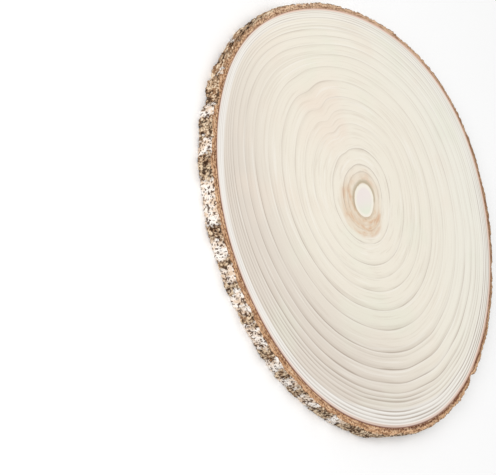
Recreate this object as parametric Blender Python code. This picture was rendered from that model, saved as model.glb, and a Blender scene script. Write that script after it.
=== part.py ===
"""Wood slice: a thin round cut straight across a branch or trunk, with its bark left on.

It lies flat on one cut face.  Units are metres, +Z is up, and the origin is the middle of the
underside.  The outline is the edge of the wood drawn as a few low waves around the pith, with the
bark standing outside it.
"""
import math

import bmesh
import bpy
from mathutils import Vector
from mathutils import noise

# ---- driving dimensions ----
WOOD_RADIUS = 0.1225            # mean radius of the wood, pith to bark
THICKNESS = 0.0094              # distance between the two cut faces
BARK_THIN = 0.0031              # depth of bark where it is thinnest
BARK_THICK = 0.0048             # depth of bark where it is thickest
BARK_THICK_ANGLE = math.radians(295.0)

# Waves of the wood's edge around the pith: (lobes, height as a share of the radius, angle of a crest)
EDGE_WAVES = (
    (1, 0.0364, math.radians(30.2)),
    (2, 0.0030, math.radians(63.9)),
    (3, 0.0177, math.radians(-10.5)),
    (4, 0.0059, math.radians(28.1)),
)

# Places where a flake of bark has broken off: (angle, half width as an angle, depth lost)
BARK_CHIPS = (
    (math.radians(26.0), math.radians(1.1), 0.0018),
    (math.radians(62.0), math.radians(1.6), 0.0009),
    (math.radians(233.0), math.radians(2.4), 0.0011),
    (math.radians(287.0), math.radians(1.8), 0.0012),
    (math.radians(348.0), math.radians(2.0), 0.0010),
)

# ---- relief of the bark ----
PLATE_COUNT = 46                # plates of bark around the rim, each a few centimetres long
PLATE_RELIEF = 0.0010           # step between one plate and the next
FURROW_RELIEF = 0.0007          # smaller ridges that run from face to face
NOISE_SEED = Vector((3.7, 1.9, 8.2))

# ---- mesh fineness ----
SIDE_COUNT = 480                # segments around the rim
SIDE_LEVELS = 5                 # rows of faces between the two cut faces

NODE_NAME = "wood_slice"
COLLECTION_NAME = "Wood slice"
FACE_COLOUR = (0.80, 0.72, 0.60, 1.0)
BARK_COLOUR = (0.26, 0.17, 0.11, 1.0)


def wood_edge(angle):
    """Radius of the wood's edge, measured from the pith."""
    waves = sum(height * math.cos(lobes * (angle - crest)) for lobes, height, crest in EDGE_WAVES)
    return WOOD_RADIUS * (1.0 + waves)


def bark_depth(angle):
    """Depth of the bark, which grew thicker on one side."""
    share = 0.5 + 0.5 * math.cos(angle - BARK_THICK_ANGLE)
    return BARK_THIN + (BARK_THICK - BARK_THIN) * share


def bark_relief(angle, height):
    """How far the bark's surface stands out at one place on the rim, most where it is thick."""
    around = Vector((math.cos(angle), math.sin(angle), 0.0))
    plate_scale = PLATE_COUNT / (2.0 * math.pi)
    plate_place = NOISE_SEED + around * plate_scale + Vector((0.0, 0.0, 0.9 * height / THICKNESS))
    plates = noise.noise(plate_place)
    furrow_place = NOISE_SEED + around * plate_scale * 3.0 + Vector((0.0, 0.0, 0.5 * height / THICKNESS))
    furrows = noise.noise(furrow_place)
    return (PLATE_RELIEF * plates + FURROW_RELIEF * furrows) * bark_depth(angle) / BARK_THICK


def chip_depth(angle):
    """Bark lost at one angle, where flakes have broken off."""
    lost = 0.0
    for centre, half_width, depth in BARK_CHIPS:
        away = abs(math.remainder(angle - centre, 2.0 * math.pi)) / half_width
        lost += depth * max(0.0, 1.0 - away ** 4)
    return lost


def rim_radius(angle, height):
    """Radius of the bark's outside at one angle and one height above the underside."""
    return wood_edge(angle) + bark_depth(angle) + bark_relief(angle, height) - chip_depth(angle)


def make_slice_mesh():
    """A short cylinder whose side is cut into rows and pushed out to the bark's surface."""
    mesh = bpy.data.meshes.new(NODE_NAME)
    bm = bmesh.new()
    bmesh.ops.create_cone(
        bm,
        cap_ends=True,
        segments=SIDE_COUNT,
        radius1=WOOD_RADIUS,
        radius2=WOOD_RADIUS,
        depth=THICKNESS,
    )
    upright = [edge for edge in bm.edges if abs(edge.verts[0].co.z - edge.verts[1].co.z) > 0.5 * THICKNESS]
    bmesh.ops.subdivide_edges(bm, edges=upright, cuts=SIDE_LEVELS - 1)
    for vert in bm.verts:
        angle = math.atan2(vert.co.y, vert.co.x)
        height = vert.co.z + THICKNESS / 2.0
        radius = rim_radius(angle, height)
        vert.co = Vector((radius * math.cos(angle), radius * math.sin(angle), height))
    centre_on_origin(bm)
    for face in bm.faces:
        face.smooth = abs(face.normal.z) < 0.5
    bm.to_mesh(mesh)
    bm.free()
    mesh.set_sharp_from_angle(angle=math.radians(50.0))
    return mesh


def centre_on_origin(bm):
    """Move the slice so that the middle of its outline is over the origin."""
    xs = [vert.co.x for vert in bm.verts]
    ys = [vert.co.y for vert in bm.verts]
    middle = Vector(((min(xs) + max(xs)) / 2.0, (min(ys) + max(ys)) / 2.0, 0.0))
    bmesh.ops.translate(bm, vec=-middle, verts=bm.verts)


def make_material(name, colour, roughness):
    material = bpy.data.materials.new(name)
    material.use_nodes = True
    shader = material.node_tree.nodes["Principled BSDF"]
    shader.inputs["Base Color"].default_value = colour
    shader.inputs["Roughness"].default_value = roughness
    shader.inputs["Metallic"].default_value = 0.0
    return material


def main():
    for old in list(bpy.data.objects):
        bpy.data.objects.remove(old, do_unlink=True)
    collection = bpy.data.collections.new(COLLECTION_NAME)
    bpy.context.scene.collection.children.link(collection)
    piece = bpy.data.objects.new(NODE_NAME, make_slice_mesh())
    piece.data.materials.append(make_material("cut_wood", FACE_COLOUR, 0.7))
    piece.data.materials.append(make_material("bark", BARK_COLOUR, 0.9))
    for face in piece.data.polygons:
        face.material_index = 1 if abs(face.normal.z) < 0.5 else 0
    collection.objects.link(piece)


main()
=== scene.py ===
"""Looks of the wood slice: a sanded cross-cut face with its growth rings, and rough bark round it.

Two pieces stand for the one CAD solid, the wood and the ring of bark that grew on it.  Every place
is in metres in the frame of the CAD.  Angles are about the pith, from +X towards +Y.
"""
import bisect
import math
import random

import bpy
import numpy as np
from mathutils import Matrix, Vector, noise
from mathutils.bvhtree import BVHTree


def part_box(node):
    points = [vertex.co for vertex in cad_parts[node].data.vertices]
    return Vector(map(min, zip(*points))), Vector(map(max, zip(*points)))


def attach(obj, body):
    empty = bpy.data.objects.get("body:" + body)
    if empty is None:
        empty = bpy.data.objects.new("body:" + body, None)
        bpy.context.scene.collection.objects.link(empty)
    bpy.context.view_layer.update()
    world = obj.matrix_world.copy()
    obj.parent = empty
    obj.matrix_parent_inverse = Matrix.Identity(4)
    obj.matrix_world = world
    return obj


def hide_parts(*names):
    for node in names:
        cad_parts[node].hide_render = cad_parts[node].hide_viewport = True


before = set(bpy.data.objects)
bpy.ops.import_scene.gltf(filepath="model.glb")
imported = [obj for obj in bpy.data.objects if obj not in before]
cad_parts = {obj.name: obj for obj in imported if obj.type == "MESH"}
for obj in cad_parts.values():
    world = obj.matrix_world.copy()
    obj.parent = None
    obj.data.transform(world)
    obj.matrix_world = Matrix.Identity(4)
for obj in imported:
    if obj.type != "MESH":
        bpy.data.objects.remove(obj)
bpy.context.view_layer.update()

NODE = "wood_slice"
BODY = "root"
BOTTOM, TOP = (corner[2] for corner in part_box(NODE))
THICKNESS = TOP - BOTTOM
FULL_TURN = 2.0 * math.pi
MILLIMETRES = 1000.0            # in a metre
SHARP_WOOD = 40.0               # degrees between two faces from which an edge looks sharp
SHARP_BARK = 60.0

# ---------------------------------------------------------------- growth of the wood
PITH = (-0.00621, -0.00241)     # where the rings are centred, beside the middle of the outline
WOOD_RADIUS = 0.1225            # mean distance from the pith to the bark

# Waves of the wood's edge: (lobes, height as a share of the radius, angle of a crest in degrees)
EDGE_WAVES = (
    (1, 0.0364, 30.2),
    (2, 0.0030, 63.9),
    (3, 0.0177, -10.5),
    (4, 0.0059, 28.1),
    (7, 0.0018, 8.0),
)
# How the young rings differ from the edge: (lobes, cosine, sine, second cosine, second sine).
# The first pair fades evenly from pith to edge, the second pair faster.
YOUNG_WAVES = (
    (1, -0.273, -0.052, -0.031, 0.015),
    (2, 0.039, 0.178, -0.005, -0.289),
    (3, -0.034, -0.020, 0.041, 0.064),
)
YOUNGEST_LEAN = 0.20            # how far the very first ring is drawn in on the stained side
YOUNGEST_GROWTH = 0.10          # and by which growth that has faded
# Each year's growth: (its end as a share of the way to the bark, how dark the line there is, how
# far inwards its soft side reaches)
YEARS = (
    (0.081, 1.00, 0.004), (0.122, 0.35, 0.008), (0.150, 0.50, 0.006),
    (0.217, 1.00, 0.006), (0.327, 0.75, 0.020), (0.392, 0.60, 0.020), (0.456, 0.75, 0.020),
    (0.543, 0.95, 0.022), (0.628, 0.75, 0.022), (0.722, 0.95, 0.024), (0.741, 0.30, 0.010),
    (0.791, 1.00, 0.020), (0.841, 0.95, 0.012), (0.878, 1.00, 0.010), (0.896, 0.70, 0.008),
    (0.910, 0.80, 0.006), (0.927, 0.45, 0.006), (0.943, 0.75, 0.005), (0.958, 0.70, 0.005),
    (0.971, 0.70, 0.005), (0.983, 0.80, 0.005), (0.9925, 0.80, 0.003), (1.000, 1.00, 0.003),
)
# Where the rings are drawn in, or bulge where the depth is below 0:
# (depth in units of growth, angle in degrees, its width, growth, its width)
HOLLOWS = (
    (0.046, 184.0, 24.0, 0.79, 0.14),
    (-0.012, 125.0, 16.0, 0.60, 0.22),
    (-0.012, 238.0, 26.0, 0.327, 0.05),
)
# The notch over the old branch is another such hollow, whose angle drifts as the tree grows
NOTCH = (0.028, 6.5, 0.44, 0.15)        # depth, width of the angle, growth, its width
NOTCH_WAY = 192.0               # the notch's angle where the growth is NOTCH_START
NOTCH_START = 0.33
NOTCH_DRIFT = 28.0              # degrees that it drifts from the pith to the bark
# Old rings ripple on one side: (height, angle, its width, growth, its width)
RIPPLE = (0.0020, 15.0, 34.0, 0.84, 0.14)
RIPPLE_WAVES = 18.0             # ripples in a full turn
RIPPLE_CREST = 4.0              # angle of one crest, at the growth given above
RIPPLE_LAG = 900.0              # degrees of the wave by which it shifts from pith to bark

ROW_SPACING = 0.014             # growth between two rows of the top face's mesh
UNDER_ROW_SPACING = 0.035       # the same for the underside
WOOD_COLUMNS = 512              # segments around the wood
PITH_DIMPLE = 0.0002            # the soft pith is sanded a little lower
DIMPLE_GROWTH = 0.07            # growth at which that dimple has faded
RING_DIMPLE = 0.00003           # and so is each year's soft early wood
BARK_STEP = 0.00012             # the bark's two cut faces lie a hair below the wood's surface
BRANCH_WAY = 193.0              # angle at which a branch once grew, in degrees like those below
NEAR_WAY = 290.0                # angle at which the wood is darkest
LINED_WAY = 328.0               # angle at which the rings are plainest
YOUNG_LINED_WAY = 15.0          # the same for the youngest rings
STAIN_WAY = 318.0               # angle at which the heart's stain reaches furthest
LEAST_REACH = 0.0005            # keeps the direction from the pith defined at the pith itself

# ---------------------------------------------------------------- bark
BARK_COLUMNS = 1600             # segments around the bark
SIDE_ROWS = 36                  # rows of faces down the bark's outside
TOP_ROWS = 8                    # rows across its cut face, on top
UNDER_ROWS = 6                  # and on the underside
TUCK = 0.0006                   # how far the bark's hidden inner wall reaches into the wood
EDGE_CHIP = 0.0007              # most that is broken away along a cut edge
CHIP_PITCH = 70.0               # how many chips there are, in waves for each radian
CHIP_SHIFT = 0.3                # sets the lower edge's chips apart from the upper edge's
CHIP_REACH = 0.055              # how far down the side they reach, as a share of its height
SIDE_MARGIN = 0.02              # share of the height, at each end, where the side isn't measured

# Roughness of the bark: (waves for each millimetre, squash along Z, shift, height in metres)
ROUGHNESS = (
    (0.62, 0.45, (9.0, 0.0, 0.0), 0.00034),
    (1.50, 0.45, (0.0, 5.0, 0.0), 0.00030),
    (1.25, 1.00, (0.0, 0.0, 7.0), 0.00026),
    (2.60, 1.00, (0.0, 0.0, 0.0), 0.00020),
)
# How the edges of the plates wander: (waves for each millimetre, degrees)
PLATE_SWAY = ((0.13, 2.2), (0.5, 1.3), (1.3, 0.5))
PLATE_STAND = 0.00040           # most that one plate is lower than another
CRACK_DEPTH = 0.00035           # depth of the crack between two plates
CRACK_WIDTH = 0.35              # and its half width, in degrees
BLEND_WIDTH = 0.4               # degrees over which the paleness of two plates blends
STEP_DEPTH = 0.00120            # how far a stepped plate falls back from its start to its end
STEPPED_FROM = 196.0            # angles between which the plates are stepped
STEPPED_TO = 240.0
BARK_CLEARANCE = 0.00012        # the bark's outside stays this far inside the CAD solid

# Plates of bark on the near side: (angle in degrees where one starts, whether it is pale)
NEAR_PLATES = (
    (196.0, False), (200.5, False), (206.0, False), (213.0, True), (214.0, False), (218.0, False),
    (222.0, False), (225.6, True), (226.8, False), (235.0, True), (238.0, False), (243.5, True),
    (247.5, False), (253.5, True), (264.5, False), (268.8, True), (273.2, False), (275.5, True),
    (279.2, False), (281.5, True), (286.5, False), (290.5, True), (297.0, False), (300.0, True),
    (304.0, False), (306.3, True), (310.0, False), (313.0, True), (318.5, False), (323.5, True),
    (328.0, False), (333.0, False),
)
OTHER_PLATES_END = 556.0        # the other plates are drawn from the last start up to this angle
OTHER_PLATE_WIDTHS = (3.0, 7.5)
PLATE_SEED = 11
PALE_SHARE = 0.30               # share of those plates that are pale
ALONG_TRUNK = (1.0, 1.0, 0.45)  # stretches a noise along the trunk

STRIPED_WAY = 209.0             # angle at which the bark's outside is striped
BAST_WAY = 20.0                 # angle at which its cut face has the widest dark inner band
THIN_WAY = 85.0                 # angle at which the bark is thin and dark
FAR_WAY = 165.0                 # angle at which its cut face is palest
SMOOTH_WAY = 310.0              # angle at which its cut face has the fewest specks


def edge_radius(angle):
    """Distance from the pith to the edge of the wood, for one angle or an array of them."""
    waves = 1.0
    for lobes, height, crest in EDGE_WAVES:
        waves = waves + height * np.cos(lobes * (angle - math.radians(crest)))
    return WOOD_RADIUS * waves


def bump(value, centre, width):
    """A smooth hill of height 1."""
    return np.exp(-((value - centre) / width) ** 2)


def hill(turn, way, way_width, growth, middle, growth_width):
    """A smooth hill of height 1 around one angle and one growth."""
    return bump(turn, way, way_width) * bump(growth, middle, growth_width)


def drawn_in(growth, angle):
    """How far each ring is drawn in at an angle, in units of growth."""
    turn = np.degrees(angle) % 360.0
    depth, way_width, middle, growth_width = NOTCH
    way = NOTCH_WAY + NOTCH_DRIFT * (growth - NOTCH_START)
    total = depth * hill(turn, way, way_width, growth, middle, growth_width)
    for depth, way, way_width, middle, growth_width in HOLLOWS:
        total = total + depth * hill(turn, way, way_width, growth, middle, growth_width)
    depth, way, way_width, middle, growth_width = RIPPLE
    wave = np.cos(np.radians(RIPPLE_WAVES * (turn - RIPPLE_CREST) + RIPPLE_LAG * (growth - middle)))
    quarter_on = (turn + 90.0) % 360.0      # so that the hill doesn't straddle the angle 0
    ripple = depth * wave * hill(quarter_on, way + 90.0, way_width, growth, middle, growth_width)
    return total + ripple


def ring_radius(growth, angle):
    """Distance from the pith to a ring, where growth runs from 0 at the pith to 1 at the bark."""
    reached = growth - drawn_in(growth, angle)
    youth = 1.0 - reached
    lean = 0.0
    for lobes, cosine, sine, second_cosine, second_sine in YOUNG_WAVES:
        lean = lean + (cosine * youth + second_cosine * youth ** 2) * np.cos(lobes * angle)
        lean = lean + (sine * youth + second_sine * youth ** 2) * np.sin(lobes * angle)
    stained_side = 0.5 + 0.5 * np.cos(angle - math.radians(STAIN_WAY))
    lean = lean - YOUNGEST_LEAN * bump(reached, 0.0, YOUNGEST_GROWTH) * stained_side
    return reached * edge_radius(angle) * np.exp(lean)


def years_between():
    """Each year as (start, end, line at the start, line at the end, softness of that line)."""
    start, start_line = 0.0, 0.0
    for end, end_line, softness in YEARS:
        yield start, end, start_line, end_line, softness
        start, start_line = end, end_line


def growth_rows(spacing):
    """Rows of the mesh from the pith out: (growth at the row's outer side, its year)."""
    rows = []
    for year in years_between():
        start, end = year[0], year[1]
        count = max(1, round((end - start) / spacing))
        for step in range(1, count + 1):
            rows.append((start + (end - start) * step / count, year))
    return rows


def add_values(mesh, domain, name, values):
    """Store a number for each point or face of a mesh, for the materials to read."""
    layer = mesh.attributes.new(name, "FLOAT", domain)
    layer.data.foreach_set("value", np.asarray(values, dtype=np.float32))


def make_object(name, points, faces, material):
    mesh = bpy.data.meshes.new(name)
    mesh.from_pydata(points, [], faces)
    mesh.materials.append(material)
    mesh.validate()
    piece = bpy.data.objects.new(name, mesh)
    bpy.context.scene.collection.objects.link(piece)
    return piece


# ---------------------------------------------------------------- the wood
def cut_face_rows(rows, angle, top):
    """Points of one cut face, row by row from the pith out, with the growth at each."""
    points = []
    growths = []
    for growth, (start, end, _, _, _) in rows:
        share = (growth - start) / (end - start)
        sunk = PITH_DIMPLE * bump(growth, 0.0, DIMPLE_GROWTH) + RING_DIMPLE * (1.0 - share)
        radius = ring_radius(np.float64(growth), angle)
        height = TOP - sunk if top else BOTTOM + sunk
        for r, a in zip(radius, angle):
            points.append((PITH[0] + r * math.cos(a), PITH[1] + r * math.sin(a), height))
        growths += [growth] * len(angle)
    return points, growths


def make_wood(material):
    """The wood: two cut faces of rings around the pith, joined by a wall under the bark."""
    angle = np.arange(WOOD_COLUMNS) * FULL_TURN / WOOD_COLUMNS
    points, growths, faces, years = [], [], [], []

    def stitch(inner, outer, year, outward_up):
        for i in range(WOOD_COLUMNS):
            j = (i + 1) % WOOD_COLUMNS
            quad = (inner + i, outer + i, outer + j, inner + j)
            faces.append(quad if outward_up else quad[::-1])
            years.append(year)

    outer_rings = {}
    for top, spacing in ((True, ROW_SPACING), (False, UNDER_ROW_SPACING)):
        rows = growth_rows(spacing)
        centre = len(points)
        depth = PITH_DIMPLE + RING_DIMPLE
        points.append((PITH[0], PITH[1], TOP - depth if top else BOTTOM + depth))
        growths.append(0.0)
        first = len(points)
        new_points, new_growths = cut_face_rows(rows, angle, top)
        points += new_points
        growths += new_growths
        for i in range(WOOD_COLUMNS):
            j = (i + 1) % WOOD_COLUMNS
            fan = (centre, first + i, first + j)
            faces.append(fan if top else fan[::-1])
            years.append(rows[0][1])
        for k in range(1, len(rows)):
            stitch(first + (k - 1) * WOOD_COLUMNS, first + k * WOOD_COLUMNS, rows[k][1], top)
        outer_rings[top] = first + (len(rows) - 1) * WOOD_COLUMNS
    last_year = list(years_between())[-1]
    stitch(outer_rings[True], outer_rings[False], last_year, True)

    piece = make_object("wood", points, faces, material)
    mesh = piece.data
    add_values(mesh, "POINT", "growth", growths)
    for slot, name in enumerate(("year_start", "year_end", "start_line", "end_line", "softness")):
        add_values(mesh, "FACE", name, [year[slot] for year in years])
    mesh.shade_smooth()
    mesh.set_sharp_from_angle(angle=math.radians(SHARP_WOOD))
    return piece


# ---------------------------------------------------------------- the bark
def cad_radius(tree, angle, height):
    """Distance from the pith to the CAD solid's side."""
    margin = SIDE_MARGIN * THICKNESS
    level = min(max(height, BOTTOM + margin), TOP - margin)
    start = Vector((PITH[0], PITH[1], level))
    hit = tree.ray_cast(start, Vector((math.cos(angle), math.sin(angle), 0.0)))
    return hit[3]


def make_plates():
    """Plates of bark around the rim, each with its start, its height, its tint and its kind."""
    draw = random.Random(PLATE_SEED)
    starts = list(NEAR_PLATES)
    while True:
        start = starts[-1][0] + draw.uniform(*OTHER_PLATE_WIDTHS)
        if start > OTHER_PLATES_END - OTHER_PLATE_WIDTHS[0]:
            break
        starts.append((start, draw.random() < PALE_SHARE))
    return [
        {
            "start": start,
            "stand": draw.uniform(-1.0, 0.0),
            "tint": draw.random(),
            "pale": float(pale),
            "stepped": float(STEPPED_FROM <= start < STEPPED_TO),
        }
        for start, pale in starts
    ]


def bark_place(plates, angle, height):
    """Relief and colours of the bark's outside at one place.

    Returns the relief in metres, never above 0, then the pale share, the crack share and the tint.
    """
    round_place = Vector((math.cos(angle) * WOOD_RADIUS, math.sin(angle) * WOOD_RADIUS, height))
    place = round_place * MILLIMETRES
    sway = sum(degrees * noise.noise(place * waves) for waves, degrees in PLATE_SWAY)
    first_start = plates[0]["start"]
    along = (math.degrees(angle) + sway - first_start) % 360.0 + first_start
    index = bisect.bisect_right([plate["start"] for plate in plates], along) - 1
    plate = plates[index]
    after = plates[(index + 1) % len(plates)]
    to_start = along - plate["start"]
    to_end = (after["start"] - along) % 360.0
    to_edge = min(to_start, to_end)
    crack = bump(to_edge, 0.0, CRACK_WIDTH)

    share = to_start / (to_start + to_end)
    relief = PLATE_STAND * plate["stand"] - CRACK_DEPTH * crack - STEP_DEPTH * share * plate["stepped"]
    for waves, squash, shift, amount in ROUGHNESS:
        squashed = Vector((place.x, place.y, place.z * squash))
        relief += amount * noise.noise(squashed * waves + Vector(shift))

    neighbour = plates[index - 1] if to_start < to_end else after
    blend = 0.5 * bump(to_edge, 0.0, BLEND_WIDTH)
    pale = plate["pale"] * (1.0 - blend) + neighbour["pale"] * blend
    return min(relief - BARK_CLEARANCE, 0.0), pale, crack, plate["tint"]


def edge_chip(angle, row):
    """How much is broken away at a row of the bark's side, which is most at its cut edges."""
    shift = 0.0 if row < SIDE_ROWS / 2 else CHIP_SHIFT
    chips = 0.5 + noise.noise(Vector((math.cos(angle), math.sin(angle), shift)) * CHIP_PITCH)
    from_edge = min(row, SIDE_ROWS - row) / SIDE_ROWS
    return EDGE_CHIP * max(0.0, chips) * bump(from_edge, 0.0, CHIP_REACH)


def cut_across(inner, rim, rows):
    """Places across one cut face of the bark, from its hidden inner wall to just short of the rim."""
    rim_radius, height, (_, _, pale, crack, tint) = rim
    places = []
    for row in range(rows):
        share = row / rows
        places.append((inner + (rim_radius - inner) * share, height, (share, 1.0, pale, crack, tint)))
    return places


def make_bark(material):
    """The bark: one closed band whose outside follows the CAD solid and is broken into plates."""
    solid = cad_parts[NODE]
    corners = [vertex.co for vertex in solid.data.vertices]
    tree = BVHTree.FromPolygons(corners, [polygon.vertices for polygon in solid.data.polygons])
    plates = make_plates()
    lowest = BOTTOM + BARK_STEP
    highest = TOP - BARK_STEP
    points, depth, cut, pale, crack, tint = [], [], [], [], [], []

    def add(angle, radius, height, values):
        points.append((PITH[0] + radius * math.cos(angle), PITH[1] + radius * math.sin(angle), height))
        for store, value in zip((depth, cut, pale, crack, tint), values):
            store.append(value)

    for i in range(BARK_COLUMNS):
        angle = i * FULL_TURN / BARK_COLUMNS
        inner = float(edge_radius(angle)) - TUCK
        side = []
        for k in range(SIDE_ROWS + 1):
            height = highest + (lowest - highest) * k / SIDE_ROWS
            relief, is_pale, is_crack, tone = bark_place(plates, angle, height)
            radius = cad_radius(tree, angle, height) + relief - edge_chip(angle, k)
            side.append((radius, height, (1.0, 0.0, is_pale, is_crack, tone)))
        across_top = cut_across(inner, side[0], TOP_ROWS)
        across_bottom = cut_across(inner, side[-1], UNDER_ROWS)[::-1]
        for radius, height, values in across_top + side + across_bottom:
            add(angle, radius, height, values)

    around = TOP_ROWS + SIDE_ROWS + 1 + UNDER_ROWS
    faces = []
    for i in range(BARK_COLUMNS):
        here = i * around
        there = ((i + 1) % BARK_COLUMNS) * around
        for k in range(around):
            step = (k + 1) % around
            faces.append((here + k, here + step, there + step, there + k))
    piece = make_object("bark", points, faces, material)
    for name, values in (("depth", depth), ("cut", cut), ("pale", pale), ("crack", crack), ("tint", tint)):
        add_values(piece.data, "POINT", name, values)
    piece.data.shade_smooth()
    piece.data.set_sharp_from_angle(angle=math.radians(SHARP_BARK))
    return piece


# ---------------------------------------------------------------- colours
def colour(red, green, blue):
    """A colour given as it looks on a screen, 0 to 255, in the linear values that shaders use."""
    def linear(value):
        value = value / 255.0
        return value / 12.92 if value <= 0.04045 else ((value + 0.055) / 1.055) ** 2.4
    return (linear(red), linear(green), linear(blue), 1.0)


CREAM = colour(241, 234, 219)           # most of the wood
BEIGE = colour(223, 213, 201)           # the near side
IVORY = colour(242, 239, 227)           # the far side
GREEN_CLOUD = colour(230, 233, 214)
PINK_CLOUD = colour(240, 224, 208)
BRANCH_PINK = colour(240, 217, 200)
YOUNG_WHITE = colour(249, 247, 243)
FAINT_LINE = colour(204, 190, 174)
FAINT_LIGHT = colour(249, 245, 236)
PORE = colour(190, 174, 155)
STAIN = colour(225, 199, 170)
DEEP_STAIN = colour(214, 170, 138)
PITH_RIM = colour(245, 239, 226)
PITH_PINK = colour(240, 230, 225)
PITH_GREEN = colour(232, 234, 217)
HALO = colour(251, 248, 241)
RING_LINE = colour(166, 149, 133)
HEART_LINE = colour(184, 168, 140)
EDGE_PINK = colour(234, 196, 176)
EDGE_BROWN = colour(132, 86, 66)

BROWN = colour(150, 113, 82)            # plates of bark
LIGHT_BROWN = colour(186, 162, 134)
WARM_BROWN = colour(166, 126, 90)
BROWN_FLAKE = colour(238, 214, 182)
BROWN_DOT = colour(242, 222, 194)
DARK_FLAKE = colour(58, 38, 24)
DARK_DOT = colour(60, 40, 26)
OFF_WHITE = colour(230, 206, 182)       # pale plates
WHITE = colour(253, 246, 238)
WHITE_PLATE_FLAKE = colour(78, 54, 38)
WHITE_PLATE_DOT = colour(84, 58, 40)
# painted shade: a dark colour for the cracks between the plates
CRACK_SHADE = colour(84, 62, 46)

CORK = colour(205, 158, 118)            # the bark's cut face, outside its dark inner band
WIDE_BAST_CORK = colour(214, 172, 134)
THIN_CORK = colour(138, 106, 78)
FAR_CORK = colour(218, 184, 154)
BAST = colour(116, 72, 52)              # the dark inner band
FAR_BAST = colour(176, 128, 98)
SECOND_LINE = colour(128, 84, 60)
DARK_LAYER = colour(138, 94, 64)
PALE_LAYER = colour(236, 202, 166)
# painted shade of the small chips along the outer rim of the cut face
RIM_CHIP_SHADE = colour(104, 80, 54)
DARK_SPECK = colour(80, 52, 36)
PALE_SPECK = colour(238, 206, 172)


# ---------------------------------------------------------------- short ways to add shader nodes
class Nodes:
    """A material and short ways to add nodes to it."""

    def __init__(self, name):
        self.material = bpy.data.materials.new(name)
        self.material.use_nodes = True
        self.tree = self.material.node_tree
        self.shader = self.tree.nodes["Principled BSDF"]

    def set(self, socket, value):
        """Give a socket a constant, or link it to another node's output."""
        if isinstance(value, bpy.types.NodeSocket):
            self.tree.links.new(value, socket)
        else:
            socket.default_value = value

    def set_shader(self, **values):
        """Set the shader's inputs, named with an underscore for each space."""
        for name, value in values.items():
            self.set(self.shader.inputs[name.replace("_", " ")], value)

    def value(self, name):
        """A number that the mesh stores for each point or face."""
        node = self.tree.nodes.new("ShaderNodeAttribute")
        node.attribute_name = name
        return node.outputs["Fac"]

    def math(self, operation, first, second):
        node = self.tree.nodes.new("ShaderNodeMath")
        node.operation = operation
        self.set(node.inputs[0], first)
        self.set(node.inputs[1], second)
        return node.outputs[0]

    def plus(self, first, second):
        return self.math("ADD", first, second)

    def minus(self, first, second):
        return self.math("SUBTRACT", first, second)

    def times(self, first, *others):
        """The product of two or more values."""
        product = first
        for other in others:
            product = self.math("MULTIPLY", product, other)
        return product

    def most(self, first, *others):
        """The greatest of two or more values."""
        greatest = first
        for other in others:
            greatest = self.math("MAXIMUM", greatest, other)
        return greatest

    def fade(self, value, start, end, low=0.0, high=1.0):
        """Goes smoothly from low, where the value is start, to high, where it is end."""
        node = self.tree.nodes.new("ShaderNodeMapRange")
        node.interpolation_type = "SMOOTHSTEP"
        names = ("Value", "From Min", "From Max", "To Min", "To Max")
        for name, given in zip(names, (value, start, end, low, high)):
            self.set(node.inputs[name], given)
        return node.outputs[0]

    def mix(self, share, first, second):
        """A colour between two, all of the second where the share is 1."""
        node = self.tree.nodes.new("ShaderNodeMix")
        node.data_type = "RGBA"
        for index, value in zip((0, 6, 7), (share, first, second)):
            self.set(node.inputs[index], value)
        return node.outputs[2]

    def mix_value(self, share, first, second):
        """The same for two numbers."""
        node = self.tree.nodes.new("ShaderNodeMix")
        for index, value in zip((0, 2, 3), (share, first, second)):
            self.set(node.inputs[index], value)
        return node.outputs[0]

    def noise(self, place, scale, detail=2.0, roughness=0.5, stretch=(1.0, 1.0, 1.0)):
        mapping = self.tree.nodes.new("ShaderNodeMapping")
        self.set(mapping.inputs["Scale"], stretch)
        self.set(mapping.inputs["Vector"], place)
        node = self.tree.nodes.new("ShaderNodeTexNoise")
        self.set(node.inputs["Vector"], mapping.outputs[0])
        self.set(node.inputs["Scale"], scale)
        self.set(node.inputs["Detail"], detail)
        self.set(node.inputs["Roughness"], roughness)
        return node.outputs["Fac"]

    def relief(self, height, strength, distance):
        node = self.tree.nodes.new("ShaderNodeBump")
        self.set(node.inputs["Strength"], strength)
        self.set(node.inputs["Distance"], distance)
        self.set(node.inputs["Height"], height)
        self.set_shader(Normal=node.outputs[0])


class RoundNodes(Nodes):
    """Nodes for a material that knows which way each place lies from the pith."""

    def __init__(self, name):
        super().__init__(name)
        self.place = self.tree.nodes.new("ShaderNodeTexCoord").outputs["Object"]
        split = self.tree.nodes.new("ShaderNodeSeparateXYZ")
        self.set(split.inputs[0], self.place)
        across = self.minus(split.outputs[0], PITH[0])
        away = self.minus(split.outputs[1], PITH[1])
        squares = self.plus(self.times(across, across), self.times(away, away))
        reach = self.most(self.math("POWER", squares, 0.5), LEAST_REACH)
        self.east = self.math("DIVIDE", across, reach)
        self.north = self.math("DIVIDE", away, reach)

    def towards(self, degrees):
        """How nearly a place lies towards an angle: 1 straight that way, -1 straight the other way."""
        way = math.radians(degrees)
        return self.plus(self.times(self.east, math.cos(way)), self.times(self.north, math.sin(way)))

    def side(self, degrees, start, end, low=0.0, high=1.0):
        """Fades from low to high as `towards` that angle goes from start to end."""
        return self.fade(self.towards(degrees), start, end, low, high)

    def along_rings(self, outward, around, layers):
        """Places for a noise that runs along the rings: finer with `around`, thinner with `layers`."""
        node = self.tree.nodes.new("ShaderNodeCombineXYZ")
        place = (self.times(self.east, around), self.times(self.north, around), self.times(outward, layers))
        for socket, value in zip(node.inputs, place):
            self.set(socket, value)
        return node.outputs[0]


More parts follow.
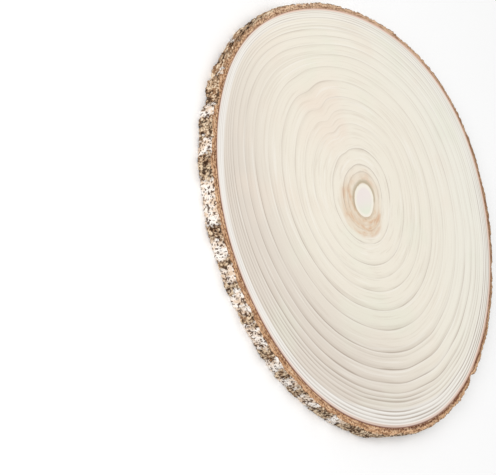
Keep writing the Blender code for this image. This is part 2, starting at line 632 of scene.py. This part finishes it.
# ---------------------------------------------------------------- the wood's material
def plain_wood(n, growth, cloud):
    """Cream wood, beige on the near side and ivory on the far side, with large soft clouds."""
    near = n.times(n.towards(NEAR_WAY), growth)
    far = n.times(n.north, growth)
    old = n.fade(growth, 0.30, 0.90)
    base = n.mix(n.times(n.fade(near, -0.20, 0.75), old), CREAM, BEIGE)
    base = n.mix(n.times(n.fade(far, -0.1, 1.0), old), base, IVORY)
    base = n.mix(n.fade(cloud, 0.55, 0.75, 0.0, 0.35), base, GREEN_CLOUD)
    return n.mix(n.fade(cloud, 0.45, 0.28, 0.0, 0.30), base, PINK_CLOUD)


def branch_blush(n, base, growth, cloud):
    """The old branch left the wood a little pinker."""
    blush = n.times(n.side(BRANCH_WAY, 0.93, 0.995), n.fade(growth, 0.20, 0.30))
    blush = n.times(blush, n.fade(growth, 0.62, 0.42), n.fade(cloud, 0.35, 0.6, 0.3, 1.0))
    return n.mix(n.times(blush, 0.6), base, BRANCH_PINK)


def fine_structure(n, base, growth, grain):
    """Faint dark and pale lines between the years' ends, and pores too fine to see one by one."""
    fine_ring = n.along_rings(growth, 2.0, 95.0)
    dark = n.fade(n.noise(fine_ring, 1.0, 3.0, 0.6), 0.50, 0.70, 0.0, 0.26)
    base = n.mix(dark, base, FAINT_LINE)
    bright = n.fade(n.noise(fine_ring, 0.7), 0.56, 0.72, 0.0, 0.40)
    base = n.mix(bright, base, FAINT_LIGHT)
    return n.mix(n.fade(grain, 0.55, 0.80, 0.0, 0.12), base, PORE)


def stained_heart(n, base, growth):
    """A pale pith with a feathered orange stain around it, which reaches furthest on one side."""
    feather = n.noise(n.along_rings(growth, 1.6, 30.0), 1.6, 3.0)
    stained_side = n.side(STAIN_WAY, -0.9, 0.9, 0.25, 1.0)
    stain_end = n.plus(n.times(stained_side, 0.065), 0.135)
    stain = n.fade(growth, stain_end, n.minus(stain_end, 0.045))
    stain = n.times(stain, n.fade(stained_side, 0.2, 0.8, 0.4, 0.9), n.fade(feather, 0.30, 0.62, 0.5, 1.0))
    base = n.mix(stain, base, STAIN)
    base = n.mix(n.times(stain, n.fade(feather, 0.50, 0.70, 0.0, 0.7)), base, DEEP_STAIN)
    base = n.mix(n.fade(growth, 0.080, 0.074), base, PITH_RIM)
    pith = n.mix(n.fade(n.times(n.east, growth), -0.04, 0.05), PITH_PINK, PITH_GREEN)
    return n.mix(n.fade(growth, 0.068, 0.055), base, pith)


def ring_lines(n, base, growth, young):
    """The years' ends: each a line that is soft on its inner side, with a pale halo beyond it."""
    along_ring = n.along_rings(growth, 1.0, 26.0)
    wander = n.minus(n.noise(along_ring, 3.0), 0.5)
    spot = n.plus(growth, n.times(wander, n.fade(growth, 0.92, 0.95, 0.009, 0.003)))
    to_end = n.minus(n.value("year_end"), spot)
    from_start = n.minus(spot, n.value("year_start"))
    heart = n.fade(growth, 0.11, 0.09)

    soft_side = n.fade(to_end, n.plus(n.value("softness"), 0.006), 0.0, 0.0, 0.40)
    core = n.fade(to_end, 0.0060, 0.0005)
    before_end = n.times(n.most(soft_side, core), n.value("end_line"))
    after_width = n.plus(n.times(heart, 0.016), 0.0035)
    after_end = n.times(n.fade(from_start, after_width, 0.0), n.value("start_line"))
    line = n.most(before_end, after_end)

    # how plain the lines are: patchy, and plainer on some sides than on others
    first_line = n.times(n.fade(growth, 0.24, 0.20), n.fade(n.east, 0.5, -0.2))
    patchy = n.fade(n.noise(along_ring, 2.2), 0.32, 0.66, 0.35, 1.0)
    patchy = n.most(patchy, first_line, heart)
    old_lines = n.fade(n.times(n.towards(LINED_WAY), growth), -0.2, 0.8, 0.42, 1.0)
    heart_lines = n.times(heart, n.fade(n.east, 0.6, -0.4, 0.25, 0.7))
    old_lines = n.most(old_lines, first_line, heart_lines)
    young_lines = n.side(YOUNG_LINED_WAY, -0.2, 0.8, 0.75, 1.40)
    young_lines = n.times(young_lines, n.side(NEAR_WAY, 0.6, 0.95, 1.0, 0.7))
    plainness = n.mix_value(young, old_lines, young_lines)

    halo = n.times(n.fade(from_start, 0.012, 0.004), n.value("start_line"), 0.25)
    halo = n.times(halo, n.mix_value(young, 1.0, 1.6), plainness)
    base = n.mix(halo, base, HALO)
    return n.mix(n.times(line, patchy, plainness, 0.85), base, n.mix(heart, RING_LINE, HEART_LINE))


def wood_edge(n, base, growth):
    """The last of the wood before the bark is pink, then reddish brown, most on the near side."""
    far_side = n.side(NEAR_WAY, 0.5, -0.3)
    pink = n.times(n.fade(growth, 0.985, 0.992), n.plus(n.times(far_side, 0.30), 0.45))
    base = n.mix(pink, base, EDGE_PINK)
    brown = n.times(n.fade(growth, 0.9935, 0.9985), n.plus(n.times(far_side, -0.45), 0.90))
    return n.mix(brown, base, EDGE_BROWN)


def make_wood_material():
    """Pale sanded end grain: growth lines, a stained heart and whiter young wood by the bark."""
    n = RoundNodes("sanded_end_grain")
    growth = n.value("growth")
    cloud = n.noise(n.place, 26.0)
    grain = n.noise(n.place, 1500.0, 2.0, 0.6)
    young_start = n.side(NEAR_WAY, 0.5, 1.0, 0.930, 0.957)
    young = n.fade(n.minus(growth, young_start), 0.0, 0.009)
    whiteness = n.side(NEAR_WAY, -0.3, 0.5, 0.25, 0.72)

    base = plain_wood(n, growth, cloud)
    base = branch_blush(n, base, growth, cloud)
    base = n.mix(n.times(young, whiteness), base, YOUNG_WHITE)
    base = fine_structure(n, base, growth, grain)
    base = stained_heart(n, base, growth)
    base = ring_lines(n, base, growth, young)
    base = wood_edge(n, base, growth)
    roughness = n.fade(grain, 0.3, 0.7, 0.60, 0.74)
    n.set_shader(Base_Color=base, Roughness=roughness, Specular_IOR_Level=0.25)
    rows = n.noise(n.along_rings(growth, 2.0, 95.0), 1.0)
    n.relief(n.plus(n.times(grain, 0.5), n.times(rows, 0.5)), 0.25, 0.0002)
    return n.material


# ---------------------------------------------------------------- the bark's material
def bark_outside(n, coarse, speckle):
    """Brown and pale plates with flakes and dots, and painted shade that darkens the cracks between them.
    """
    striped_side = n.side(STRIPED_WAY, 0.91, 0.98)
    stripes = n.noise(n.place, 480.0, 2.0, 0.6, (0.3, 0.3, 1.1))
    flakes = n.mix_value(striped_side, n.noise(n.place, 480.0, 1.0, 0.5, (1.0, 1.0, 0.7)), stripes)
    dots = n.mix_value(n.times(striped_side, 0.6), speckle, stripes)
    patches = n.noise(n.place, 120.0, 3.0, 0.6, ALONG_TRUNK)

    brown = n.mix(n.fade(patches, 0.35, 0.65), BROWN, LIGHT_BROWN)
    brown = n.mix(n.times(n.value("tint"), 0.5), brown, WARM_BROWN)
    brown = n.mix(n.fade(flakes, 0.54, 0.62, 0.0, 0.75), brown, BROWN_FLAKE)
    brown = n.mix(n.fade(dots, 0.53, 0.61, 0.0, 0.80), brown, BROWN_DOT)
    brown = n.mix(n.fade(dots, 0.47, 0.40, 0.0, 0.90), brown, DARK_DOT)
    brown = n.mix(n.fade(flakes, 0.45, 0.38, 0.0, 0.85), brown, DARK_FLAKE)

    white = n.mix(n.fade(coarse, 0.40, 0.60), OFF_WHITE, WHITE)
    white = n.mix(n.fade(dots, 0.46, 0.40, 0.0, 0.95), white, WHITE_PLATE_DOT)
    white = n.mix(n.fade(flakes, 0.39, 0.34, 0.0, 0.85), white, WHITE_PLATE_FLAKE)

    ragged_pale = n.plus(n.value("pale"), n.times(n.minus(coarse, 0.5), 1.4))
    outside = n.mix(n.fade(ragged_pale, 0.38, 0.62), brown, white)
    # painted shade darkens the cracks between the plates
    return n.mix(n.times(n.value("crack"), 0.45), outside, CRACK_SHADE)


def bark_cut_face(n, coarse, speckle):
    """The bark's cut face, from the wood outwards: a dark inner band, then layers of cork, with painted
    shade of small chips along its outer rim.
    """
    depth = n.value("depth")
    wide_side = n.side(BAST_WAY, 0.72, 0.97)
    thin_side = n.side(THIN_WAY, 0.5, 0.95, 0.0, 0.8)
    far_side = n.side(FAR_WAY, 0.5, 0.95, 0.0, 0.85)
    cork = n.mix(wide_side, CORK, WIDE_BAST_CORK)
    cork = n.mix(thin_side, cork, THIN_CORK)
    cork = n.mix(far_side, cork, FAR_CORK)
    bast = n.mix(far_side, BAST, FAR_BAST)

    ragged_depth = n.plus(depth, n.times(n.minus(n.noise(n.place, 600.0, 3.0), 0.5), 0.45))
    bast_end = n.plus(n.times(wide_side, 0.34), 0.16)
    base = n.mix(n.fade(ragged_depth, bast_end, n.plus(bast_end, 0.06)), bast, cork)
    second_line = n.times(n.fade(ragged_depth, 0.34, 0.40), n.fade(ragged_depth, 0.50, 0.44))
    base = n.mix(n.times(second_line, 0.6), base, SECOND_LINE)

    layers = n.noise(n.along_rings(depth, 18.0, 7.0), 1.0)
    base = n.mix(n.fade(layers, 0.50, 0.40, 0.0, 0.75), base, DARK_LAYER)
    base = n.mix(n.fade(layers, 0.54, 0.64, 0.0, 0.65), base, PALE_LAYER)
    # painted shade: dark marks near the outer rim stand for the shadows of small chips there
    broken = n.times(n.fade(depth, 0.78, 0.98), n.fade(coarse, 0.47, 0.58, 0.0, 0.7))
    base = n.mix(broken, base, RIM_CHIP_SHADE)

    speckled = n.times(n.fade(n.north, -0.1, 0.5, 1.0, 0.45), n.side(SMOOTH_WAY, 0.6, 0.95, 1.0, 0.8))
    base = n.mix(n.times(n.fade(speckle, 0.47, 0.40, 0.0, 0.65), speckled), base, DARK_SPECK)
    return n.mix(n.times(n.fade(speckle, 0.54, 0.62, 0.0, 0.50), speckled), base, PALE_SPECK)


def make_bark_material():
    """Rugged bark: orange-brown where it is cut, grey-brown with pale plates outside."""
    n = RoundNodes("rugged_bark")
    coarse = n.noise(n.place, 330.0, 3.0, 0.6, ALONG_TRUNK)
    speckle = n.noise(n.place, 900.0, 2.0, 0.6, (1.0, 1.0, 0.75))
    outside = bark_outside(n, coarse, speckle)
    inside = bark_cut_face(n, coarse, speckle)
    base = n.mix(n.fade(n.value("cut"), 0.2, 0.8), outside, inside)
    n.set_shader(Base_Color=base, Roughness=0.88, Specular_IOR_Level=0.15)
    n.relief(speckle, 0.8, 0.0006)
    return n.material


# ---------------------------------------------------------------- camera, floor and light
CAMERA_LENS = 101.6             # mm, on a sensor of the width below
CAMERA_SENSOR = 36.0
CAMERA_NEAR = 0.01              # nearest distance that it shows
CAMERA_TILT = 41.07             # degrees that the view looks down
CAMERA_ROLL = 74.26             # degrees that the object is turned under it
CAMERA_DISTANCE = 0.7959        # from the camera to the wood's middle, along the view
MIDDLE_RIGHT = 0.0866           # where that middle stands in the picture, as slopes
MIDDLE_UP = 0.0196
MIDDLE = (-0.00275, 0.00002)    # the middle of the wood's outline on the upper face

FLOOR_SIZE = 8.0
FLOOR_COLOUR = (0.97, 0.97, 0.97, 1.0)
FLOOR_GLOW = 0.05               # a faint glow keeps the floor as white as a studio's
WHITE_LIGHT = (1.0, 1.0, 1.0, 1.0)
WORLD_LIGHT = 0.45
# Square lamps that shine at the middle of the object: (name, place, width, power in watts)
LAMPS = (
    ("overhead", (0.0, 0.1, 1.6), 1.6, 11.5),
    ("front", (-0.5, -1.3, 0.8), 0.8, 11.4),
)


def make_camera():
    data = bpy.data.cameras.new("camera")
    data.lens = CAMERA_LENS
    data.sensor_width = CAMERA_SENSOR
    data.clip_start = CAMERA_NEAR
    camera = bpy.data.objects.new("camera", data)
    pitch = Matrix.Rotation(math.radians(90.0 - CAMERA_TILT), 4, "X")
    turn = pitch @ Matrix.Rotation(math.radians(CAMERA_ROLL), 4, "Z")
    sight = Vector((MIDDLE_RIGHT, MIDDLE_UP, -1.0)) * CAMERA_DISTANCE
    target = Vector((MIDDLE[0], MIDDLE[1], TOP))
    camera.matrix_world = Matrix.Translation(target - turn.to_3x3() @ sight) @ turn
    bpy.context.scene.collection.objects.link(camera)
    bpy.context.scene.camera = camera


def make_floor():
    bpy.ops.mesh.primitive_plane_add(size=FLOOR_SIZE, location=(0.0, 0.0, BOTTOM))
    floor = bpy.context.object
    floor.name = "floor"
    n = Nodes("pale_floor")
    n.set_shader(Base_Color=FLOOR_COLOUR, Roughness=0.55)
    n.set_shader(Emission_Color=WHITE_LIGHT, Emission_Strength=FLOOR_GLOW)
    floor.data.materials.append(n.material)


def make_light():
    world = bpy.data.worlds.new("studio")
    bpy.context.scene.world = world
    world.use_nodes = True
    background = world.node_tree.nodes["Background"]
    background.inputs["Color"].default_value = WHITE_LIGHT
    background.inputs["Strength"].default_value = WORLD_LIGHT
    for name, place, width, power in LAMPS:
        data = bpy.data.lights.new(name, "AREA")
        data.shape = "SQUARE"
        data.size = width
        data.energy = power
        lamp = bpy.data.objects.new(name, data)
        lamp.location = place
        lamp.rotation_euler = (-Vector(place)).to_track_quat("-Z", "Y").to_euler()
        bpy.context.scene.collection.objects.link(lamp)
    bpy.context.scene.view_settings.view_transform = "Standard"


make_camera()
make_floor()
make_light()

wood = make_wood(make_wood_material())
bark = make_bark(make_bark_material())
for piece in (wood, bark):
    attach(piece, BODY)
    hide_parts(NODE)
